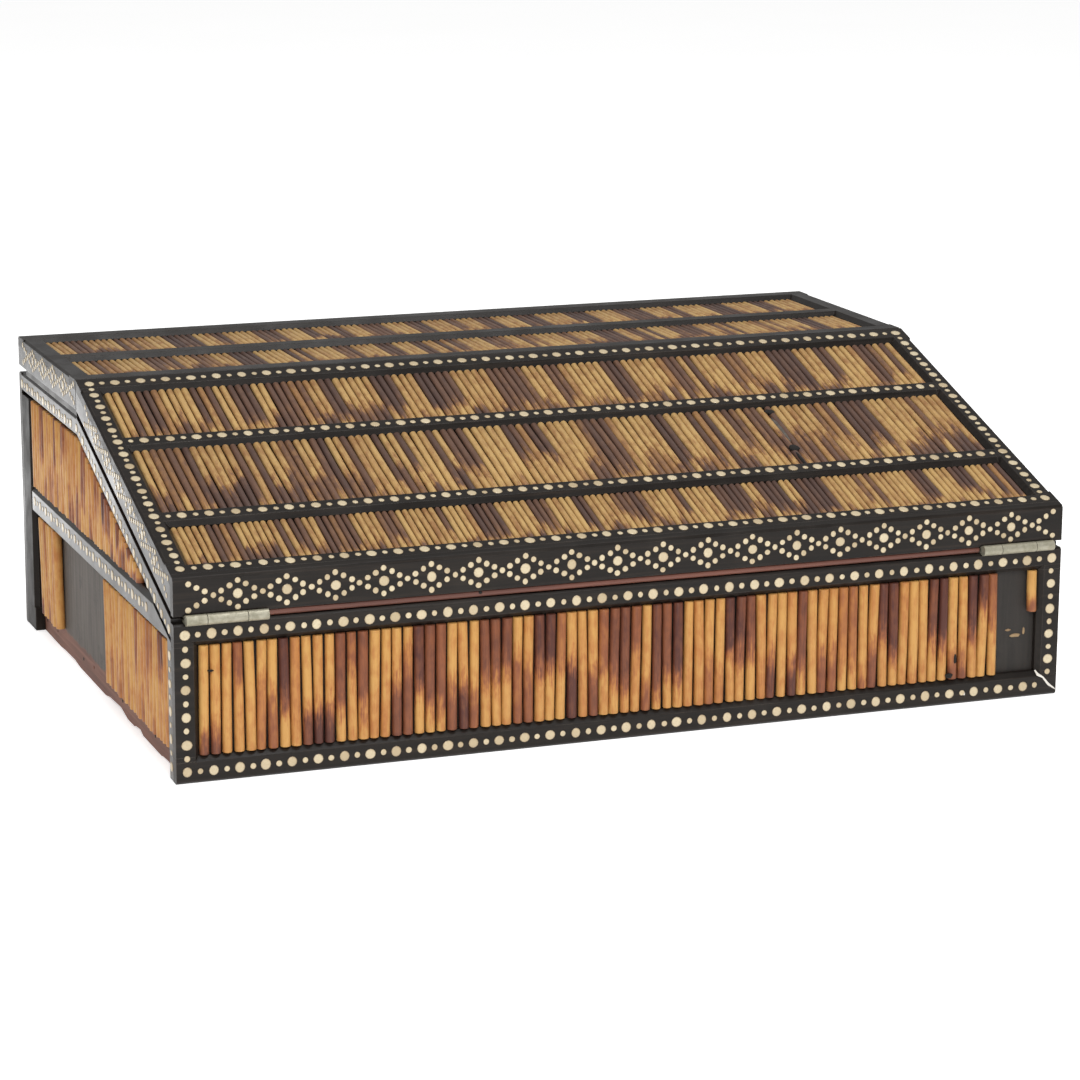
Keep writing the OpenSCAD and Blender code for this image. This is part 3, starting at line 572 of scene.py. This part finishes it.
def set_dots(name, dots, finish, body, seed, replaced=()):
    """Domed bone pegs; dots are (place, direction, diameter)."""
    dice = random.Random(seed)
    bm = bmesh.new()
    tone = bm.verts.layers.float_color.new("dot")
    for place, direction, diameter in dots:
        first = len(bm.verts)
        bm.from_mesh(DOT)
        bm.verts.ensure_lookup_table()
        radius = diameter / 2 * dice.uniform(0.93, 1.03)
        oval = dice.uniform(0.95, 1.05)
        slip = Vector((dice.uniform(-1, 1), dice.uniform(-1, 1), 0)) * DOT_SLIP
        turn = facing(direction, place)
        colour = dice.random()
        for vertex in bm.verts[first:]:
            x, y, z = vertex.co
            vertex[tone] = (colour, math.hypot(x, y), 0, 1)
            shaped = Vector((x * radius * oval, y * radius / oval, z * DOT_HEIGHT - DOT_SUNK))
            vertex.co = turn @ (shaped + slip)
    finish_piece(name, bm, finish, body, replaced)


def dot_row(start, end, outward, with_ends=True):
    """Large dots from start to end with a small one between each two."""
    count = max(1, round((end - start).length / DOT_PITCH))
    step = (end - start) / count
    skipped = 0 if with_ends else 1
    large = [(start + step * i, outward, LARGE_DOT) for i in range(skipped, count + 1 - skipped)]
    small = [(start + step * (i + 0.5), outward, SMALL_DOT) for i in range(count)]
    return large + small


def lozenge_row(start, end, rise, outward, first=3.5 * MM):
    """A run of lozenges between two points, with half ones at its ends and a large dot in
    each. Rise points from the middle to a tip, and first is the room before the first dot."""
    along = (end - start).normalized()
    count = math.floor(((end - start).length - first) / LOZENGE_LEN) - 1
    dots = []
    # Tips at every sixth place, and half way between them a corner that two neighbours share
    for k in range(6 * (count + 1) + 1):
        place = start + along * (first + k * LOZENGE_LEN / 6)
        height = abs(k % 6 - 3) / 3
        dots.append((place + rise * height, outward, SMALL_DOT))
        if height > 0:
            dots.append((place - rise * height, outward, SMALL_DOT))
    for i in range(1, count + 1):
        dots.append((start + along * (first + i * LOZENGE_LEN), outward, LARGE_DOT))
    return dots


def upright_foot(name, low, high, finish):
    """A foot of an upright strip, from its lowest to its highest corner, with eased edges."""
    bm = bmesh.new()
    bmesh.ops.create_cube(bm, size=1)
    for vertex in bm.verts:
        vertex.co = Vector(b if c > 0 else a for a, b, c in zip(low, high, vertex.co))
    bmesh.ops.bevel(
        bm, geom=bm.edges[:], affect="EDGES", offset=EASED_EDGE, segments=1, profile=0.5, material=-1
    )
    finish_piece(name, bm, finish, "case", smooth=False)


def frame_fills(name, nodes, along, outward, finish, body):
    """Wedges that close the grooves where the stiles of a frame stand on the bevels of its
    rails, and its bars on the bevels of its stiles, so that the corners are flush."""
    across = along.cross(outward)
    solids = [points for node in nodes for points in loose_solids(node)]
    level = max(float((points @ np.array(outward)).max()) for points in solids)
    bm = bmesh.new()

    def wedge(end, into, low, high, low_bevel, high_bevel, first, second):
        """One wedge at an end of a strip: first is the direction that the strip ends in, by
        into, second the one across it, and the bevels are those of its own two edges."""
        corners = [(end, low, -STRIP_BEVEL), (end, high, -STRIP_BEVEL)]
        for reach in (end, end + into * STRIP_BEVEL):
            corners += [(reach, low + low_bevel, 0), (reach, high - high_bevel, 0)]
        made = [bm.verts.new(first * a + second * b + outward * (level + c)) for a, b, c in corners]
        bmesh.ops.convex_hull(bm, input=made)

    for points in solids:
        x, s = points @ np.array(across), points @ np.array(along)
        left, right, low, high = float(x.min()), float(x.max()), float(s.min()), float(s.max())
        # Rails as wide as the box run through, so they need no wedge
        if right - left > 2 * CORNER_DOT:
            continue
        if right - left > high - low:
            wedge(left, -1, low, high, STRIP_BEVEL, STRIP_BEVEL, across, along)
            wedge(right, 1, low, high, STRIP_BEVEL, STRIP_BEVEL, across, along)
        else:
            bevels = (0, STRIP_BEVEL) if right < 0 else (STRIP_BEVEL, 0)
            wedge(low, -1, left, right, *bevels, along, across)
            wedge(high, 1, left, right, *bevels, along, across)
    bmesh.ops.recalc_face_normals(bm, faces=bm.faces)
    finish_piece(name, bm, finish, body, smooth=False)


def blots(name, spots, finish, body, seed):
    """Low patches with a rough outline; spots are (place, outward, width, height, rise)."""
    dice = random.Random(seed)
    bm = bmesh.new()
    for place, outward, width, height, rise in spots:
        turn = facing(outward, Vector(place) * MM)
        made = bmesh.ops.create_icosphere(bm, subdivisions=2, radius=1)["verts"]
        for vertex in made:
            x, y, z = vertex.co * dice.uniform(0.78, 1.12)
            vertex.co = turn @ (Vector((x * width / 2, y * height / 2, z * rise)) * MM)
    finish_piece(name, bm, finish, body)


def crack(name, points, widths, outward, rise, finish, body):
    """A raised ragged line through points on a face, with its width at each of them."""
    bm = bmesh.new()
    edges = []
    for i, point in enumerate(points):
        before, after = points[max(0, i - 1)], points[min(len(points) - 1, i + 1)]
        aside = (Vector(after) - Vector(before)).cross(outward).normalized() * widths[i] / 2
        edges.append([bm.verts.new((Vector(point) + aside * side) * MM) for side in (-1, 1)])
    faces = [bm.faces.new((a[0], b[0], b[1], a[1])) for a, b in zip(edges, edges[1:])]
    raised = bmesh.ops.extrude_face_region(bm, geom=faces)["geom"]
    tops = [v for v in raised if isinstance(v, bmesh.types.BMVert)]
    bmesh.ops.translate(bm, verts=tops, vec=outward * rise * MM)
    bmesh.ops.recalc_face_normals(bm, faces=bm.faces)
    finish_piece(name, bm, finish, body, smooth=False)


QUILL = quill_blank()
DOT = dot_blank()

# Materials of the box

ebony_x = ebony_finish("ebony_along_width")
ebony_y = ebony_finish("ebony_along_depth", (0, 0, math.pi / 2), 0.55, 0.4)
dull_ebony = ebony_finish("dull_ebony", (0, math.pi / 2, 0), 0.12, 0.62)
old_glue = raw_wood_finish("old_glue", (0.42, 0.30, 0.16), (0.20, 0.12, 0.06))
white_filler = raw_wood_finish("white_filler", (0.80, 0.78, 0.72), (0.55, 0.50, 0.43))
# Near-black patches whose colour is painted shade: they stand for the shadow inside holes and hollows
painted_hole_shade = raw_wood_finish("painted_hole_shade", (0.012, 0.009, 0.007), (0.004, 0.003, 0.002), roughness=0.9)
wall_quill = quill_finish(
    "wall_quill", (0.53, 0.285, 0.085), (0.42, 0.172, 0.050), (0.24, 0.082, 0.036), (0.085, 0.030, 0.022)
)
lid_quill = quill_finish(
    "lid_quill", (0.50, 0.32, 0.125), (0.32, 0.165, 0.066), (0.150, 0.080, 0.052), (0.085, 0.050, 0.040)
)
bone = bone_finish()
side_ground = ground_finish("side_ground", (0.050, 0.040, 0.032), (0.125, 0.105, 0.088), 11.5 * MM)
front_ground = ground_finish("front_ground", (0.012, 0.010, 0.008), (0.027, 0.021, 0.017), 0.0)
red_wood = raw_wood_finish("red_wood", (0.19, 0.065, 0.04), (0.07, 0.024, 0.017), roughness=0.5)
carcass_wood = raw_wood_finish("carcass_wood", (0.22, 0.11, 0.07), (0.10, 0.042, 0.026))
pale_wood = raw_wood_finish("pale_wood", (0.56, 0.36, 0.19), (0.34, 0.19, 0.09), roughness=0.5)
brass = brass_finish()
velvet = velvet_finish()

NODE_FINISHES = {
    ebony_x: ["front_top_rail", "front_bottom_rail", "front_stiles", "back_frame", "slope_band",
              "slope_frame", "slope_bars", "flat_frame", "flat_bar", "flat_bead"],
    ebony_y: ["left_frame", "right_frame", "slope_edges", "flat_bands"],
    side_ground: ["left_wall", "right_wall"],
    front_ground: ["front_wall", "back_wall", "slope_board", "flat_board"],
    red_wood: ["slope_bead"],
    carcass_wood: ["bottom_board", "slope_block", "flat_block"],
    pale_wood: ["front_partition", "rear_partition", "ink_shelf", "ink_walls", "pen_trough",
                "letter_dividers"],
    brass: ["front_case_leaves", "rear_case_leaves", "front_hinge_pins", "rear_hinge_pins",
            "case_hinge_screws", "slope_leaves", "slope_screws", "flat_leaves", "flat_screws"],
    velvet: ["well_lining", "slope_lining", "flat_lining"],
}
for finish, names in NODE_FINISHES.items():
    for name in names:
        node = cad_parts[name]
        node.data.materials.clear()
        node.data.materials.append(finish)

# Quills

# How a panel was laid: the sizes of its bundles, where their dark ends start for each of the
# two ways round, how dark they are, the share of plain quills, how thick, leaning and bent the
# quills are, and, as crowd, how many of them lie in the place of one rod

WALL_LOOK = {"bundle": (1, 2, 2, 3, 3, 4), "start": ((0.2, 0.6), (0.4, 0.8)),
             "depth": (0.3, 0.72), "plain": 0.16, "thick": (0.9, 0.99),
             "lean": 0.4 * MM, "bow": 0.25 * MM}
SIDE_LOOK = {"bundle": (1, 1, 2, 3), "start": ((0.3, 0.6), (0.5, 0.9)),
             "depth": (0.2, 0.65), "plain": 0.25, "thick": (0.93, 1.02),
             "lean": 0.4 * MM, "bow": 0.25 * MM}
FRONT_ROW_LOOK = {"bundle": (2, 3, 4, 5), "start": ((0.0, 0.3), (0.7, 1.05)),
                  "depth": (0.38, 0.78), "plain": 0.14, "thick": (0.88, 0.97),
                  "lean": 0.16 * MM, "bow": 0.12 * MM}
UPPER_ROW_LOOK = {**FRONT_ROW_LOOK, "crowd": 0.85}
MIDDLE_ROW_LOOK = {**FRONT_ROW_LOOK, "bundle": (1, 2, 3, 5), "start": ((0.0, 0.4), (0.6, 1.0)),
                   "lean": 0.3 * MM, "bow": 0.3 * MM, "crowd": 1.29}

lay_quills("front_quill_panel", "front_quills", wall_quill, "case", WALL_LOOK, 11)
lay_quills("left_upper_quill_panel", "left_upper_quills", wall_quill, "case", SIDE_LOOK, 12)
lay_quills("left_lower_quill_panel", "left_lower_quills", wall_quill, "case", SIDE_LOOK, 13)
lay_quills("right_upper_quill_panel", "right_upper_quills", wall_quill, "case", SIDE_LOOK, 14)
lay_quills("right_lower_quill_panel", "right_lower_quills", wall_quill, "case", SIDE_LOOK, 15)
lay_quills("back_quill_panels", "back_quills", wall_quill, "case", WALL_LOOK, 16)
lay_quills("slope_front_quill_row", "slope_front_quills", lid_quill, "slope_lid", FRONT_ROW_LOOK, 17)
lay_quills("slope_middle_quill_row", "slope_middle_quills", lid_quill, "slope_lid", MIDDLE_ROW_LOOK, 18)
lay_quills("slope_upper_quill_row", "slope_upper_quills", lid_quill, "slope_lid", UPPER_ROW_LOOK, 19)
lay_quills("flat_front_quill_row", "flat_front_quills", lid_quill, "flat_lid", FRONT_ROW_LOOK, 20)
lay_quills("flat_back_quill_row", "flat_back_quills", lid_quill, "flat_lid", FRONT_ROW_LOOK, 21)

# Strips

# The rear upright of the left side is duller than the strips around it
left_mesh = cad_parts["left_frame"].data
left_mesh.materials.append(dull_ebony)
for face in left_mesh.polygons:
    rearmost = face.center.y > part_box("left_frame")[1][1] - REAR_UPRIGHT_W
    if rearmost and face.center.z < TOP_RAIL_LOW:
        face.material_index = 1

slope_along = rods("slope_middle_quills")[0][1]
slope_out = Vector((1, 0, 0)).cross(slope_along)
frame_fills("front_corner_fills", ["front_stiles"], UP, OUT_FRONT, ebony_x, "case")
frame_fills("back_corner_fills", ["back_frame"], UP, OUT_BACK, ebony_x, "case")
frame_fills("slope_corner_fills", ["slope_frame", "slope_bars"], slope_along, slope_out, ebony_x,
            "slope_lid")
frame_fills("flat_corner_fills", ["flat_frame", "flat_bar"], OUT_BACK, UP, ebony_x, "flat_lid")

# The uprights of the left side stop above the table, so each of them gets a foot
for low, high in strips("left_frame"):
    if high.z - low.z > 3 * (high.y - low.y):
        name = "left_front_foot" if high.y < 0 else "left_back_foot"
        foot_finish = ebony_y if high.y < 0 else dull_ebony
        upright_foot(name, (low.x, low.y, 0), (high.x, high.y, low.z), foot_finish)

# Bone dots


def drifted(x):
    """Where the eye put a dot of the front that even spacing puts at x."""
    share = 0.5 + x / (2 * CORNER_DOT)
    return x - 4 * ROW_DRIFT * share * (1 - share)


# The dot of the lower right corner is lost
front_dots = []
for place, direction, diameter in discs("front_dots", OUT_FRONT):
    lost = place.x > CORNER_DOT - 1 * MM and place.z < 8 * MM
    if not lost:
        front_dots.append((Vector((drifted(place.x), place.y, place.z)), direction, diameter))
set_dots("front_bone_dots", front_dots, bone, "case", 31, ("front_dots",))
set_dots("slope_bone_dots", discs("slope_dots", UP), bone, "slope_lid", 32, ("slope_dots",))
band_dots = [
    (place - Vector((BAND_DRIFT, 0, 0)), direction, diameter)
    for place, direction, diameter in discs("band_dots", OUT_FRONT)
]
set_dots("band_bone_dots", band_dots, bone, "slope_lid", 33, ("band_dots",))


def side_dots(face_x, outward, whole):
    """Rows of dots on the strips of a side of the case. The left side has lost some."""
    rows = [
        ((FRONT_UPRIGHT_LINE, 66.5 * MM), (24.4 * MM, TOP_LINE)),
        ((36 * MM, TOP_LINE), (140 * MM, TOP_LINE)),
        ((-100 * MM, MIDDLE_LINE), (119 * MM, MIDDLE_LINE)),
        ((FRONT_UPRIGHT_LINE, 6 * MM), (FRONT_UPRIGHT_LINE, 55 * MM)),
    ]
    if whole:
        rows.append(((REAR_UPRIGHT_LINE, 6 * MM), (REAR_UPRIGHT_LINE, 111 * MM)))
        rows.append(((-127 * MM, BOTTOM_LINE), (121 * MM, BOTTOM_LINE)))
    dots = []
    for (start_y, start_z), (end_y, end_z) in rows:
        start, end = Vector((face_x, start_y, start_z)), Vector((face_x, end_y, end_z))
        dots += dot_row(start, end, outward)
    return dots


half_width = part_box("front_top_rail")[1][0]
back_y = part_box("back_frame")[1][1]
set_dots("left_bone_dots", side_dots(-half_width, OUT_LEFT, False), bone, "case", 34)
set_dots("right_bone_dots", side_dots(half_width, OUT_RIGHT, True), bone, "case", 35)

back_rows = []
for height in (BOTTOM_LINE, MIDDLE_LINE, TOP_LINE):
    start = Vector((-CORNER_DOT, back_y, height))
    back_rows += dot_row(start, Vector((CORNER_DOT, back_y, height)), OUT_BACK)
for x in (-CORNER_DOT, CORNER_DOT):
    for low, high in ((BOTTOM_LINE, MIDDLE_LINE), (MIDDLE_LINE, TOP_LINE)):
        start, end = Vector((x, back_y, low)), Vector((x, back_y, high))
        back_rows += dot_row(start, end, OUT_BACK, with_ends=False)
set_dots("back_bone_dots", back_rows, bone, "case", 36)

lid_end_low, lid_end_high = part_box("flat_bands")
flat_middle = (lid_end_low[2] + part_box("flat_frame")[1][2]) / 2
flat_lozenges = []
for x, outward in ((-half_width, OUT_LEFT), (half_width, OUT_RIGHT)):
    start, end = Vector((x, lid_end_low[1], flat_middle)), Vector((x, lid_end_high[1], flat_middle))
    flat_lozenges += lozenge_row(start, end, UP * END_LOZENGE_RISE, outward)
start, end = Vector((-half_width, back_y, flat_middle)), Vector((half_width, back_y, flat_middle))
flat_lozenges += lozenge_row(start, end, UP * END_LOZENGE_RISE, OUT_BACK)
set_dots("flat_bone_dots", flat_lozenges, bone, "flat_lid", 37)

slope_lozenges = []
for points in loose_solids("slope_edges"):
    # The back edge runs across the box and has no lozenges
    if np.ptp(points[:, 0]) > CORNER_DOT:
        continue
    s, n = points @ np.array(slope_along), points @ np.array(slope_out)
    top = float(n.max()) + LID_STRIP_T
    middle = (float(n.min()) + top) / 2
    x, outward = (-half_width, OUT_LEFT) if points[0, 0] < 0 else (half_width, OUT_RIGHT)
    side = Vector((x, 0, 0)) + slope_out * middle
    start, end = side + slope_along * float(s.min()), side + slope_along * float(s.max())
    slope_lozenges += lozenge_row(start, end, slope_out * END_LOZENGE_RISE, outward, 8 * MM)
set_dots("slope_end_bone_dots", slope_lozenges, bone, "slope_lid", 38)

# Marks of age, with their places in millimetres

blots("residue_of_glue", [((186.5, -141.2, 31.5), OUT_FRONT, 3, 1.2, 0.5),
                          ((190.2, -141.2, 28.6), OUT_FRONT, 6, 1.8, 0.6),
                          ((194.6, -141.2, 30.4), OUT_FRONT, 1.4, 3.4, 0.5)],
      old_glue, "case", 41)
blots("white_flakes", [((177.6, -142.6, 17.5), OUT_FRONT, 2.2, 9, 1.4),
                       ((162.4, -146, 4.4), OUT_FRONT, 0.9, 1.7, 0.15)],
      white_filler, "case", 42)
crack("corner_crack", [(198.6, -146, 12.4), (200.2, -146, 10.2), (203, -146, 8.6), (206, -146, 5),
                       (209.6, -146, 2.4)], (0.5, 1.3, 0.8, 1.1, 0.4), OUT_FRONT, 0.12,
      white_filler, "case")
# The worm, bead and nail holes are raised near-black patches whose colour is painted shade for the
# hollows
blots("worm_holes", [((157.2, -145.4, 21.5), OUT_FRONT, 2, 5.5, 0.9),
                     ((154.6, -145.4, 13.7), OUT_FRONT, 4.6, 2.6, 0.9),
                     ((-194.1, -145.4, 48.7), OUT_FRONT, 3, 1, 0.7)],
      painted_hole_shade, "case", 43)
blots("bead_hole", [((-73.4, -145.3, 72.3), OUT_FRONT, 1.9, 2.2, 0.5)], painted_hole_shade, "slope_lid", 44)
blots("nail_holes", [((-205.2, y, 6.2), OUT_LEFT, 2, 1.9, 0.2) for y in (119.4, 42.7, -33.3, -92)],
      painted_hole_shade, "case", 45)
# These places lie on the plane of the bars' tops, and the marks this far below it
sunk = slope_out * -1.6
# The lost quill pieces are near-black patches too, painted shade for the hollows that the quills left
blots("lost_quill_pieces", [(Vector((108.2, -43.9, 122.3)) + sunk, slope_out, 6, 4, 0.9),
                            (Vector((106.1, -77.3, 111.6)) + sunk, slope_out, 5.5, 6, 0.9),
                            (Vector((105.2, -88, 108.2)) + sunk, slope_out, 1.6, 17, 0.8)],
      painted_hole_shade, "slope_lid", 46)
blots("bared_ground", [(Vector((106.9, -60, 117.1)) + sunk, slope_out, 2.4, 26, 0.7)],
      side_ground, "slope_lid", 47)

# Floor, light and camera

floor_mesh = bmesh.new()
bmesh.ops.create_grid(floor_mesh, x_segments=1, y_segments=1, size=6)
floor_data = bpy.data.meshes.new("floor")
floor_mesh.to_mesh(floor_data)
floor_mesh.free()
floor_data.materials.append(floor_finish())
floor = bpy.data.objects.new("floor", floor_data)
bpy.context.scene.collection.objects.link(floor)


def soft_light(name, place, target, size, power):
    """A square soft box that faces a point."""
    lamp = bpy.data.lights.new(name, "AREA")
    lamp.size = size
    lamp.energy = power
    holder = bpy.data.objects.new(name, lamp)
    bpy.context.scene.collection.objects.link(holder)
    holder.matrix_world = facing(Vector(place) - Vector(target), Vector(place))


soft_light("key_light", (-0.6, -2.1, 1.7), (0, 0, 0.06), 1.1, 37)
soft_light("top_light", (0.2, -0.3, 2.0), (0, 0, 0.06), 1.0, 17)
# The patch of floor that the polished left side mirrors
soft_light("floor_light", (-0.40, 0.52, 0.05), (-0.40, 0.52, 0), 0.36, 0.8)

world = bpy.data.worlds.new("studio")
bpy.context.scene.world = world
world.use_nodes = True
world.node_tree.nodes["Background"].inputs["Color"].default_value = (1, 1, 1, 1)
world.node_tree.nodes["Background"].inputs["Strength"].default_value = 0.42
bpy.context.scene.view_settings.view_transform = "Standard"

lens = bpy.data.cameras.new("photo_camera")
lens.sensor_width = 36
lens.lens = CAMERA_LENS
camera = bpy.data.objects.new("photo_camera", lens)
bpy.context.scene.collection.objects.link(camera)
backward = Vector(
    (
        math.sin(CAMERA_AZIMUTH) * math.cos(CAMERA_ELEVATION),
        -math.cos(CAMERA_AZIMUTH) * math.cos(CAMERA_ELEVATION),
        math.sin(CAMERA_ELEVATION),
    )
)
level_right = (-backward).cross(UP).normalized()
level_up = level_right.cross(-backward)
right = math.cos(CAMERA_ROLL) * level_right + math.sin(CAMERA_ROLL) * level_up
above = -math.sin(CAMERA_ROLL) * level_right + math.cos(CAMERA_ROLL) * level_up
axes = Matrix((right, above, backward)).transposed().to_4x4()
camera.matrix_world = Matrix.Translation(CAMERA_PLACE) @ axes
bpy.context.scene.camera = camera
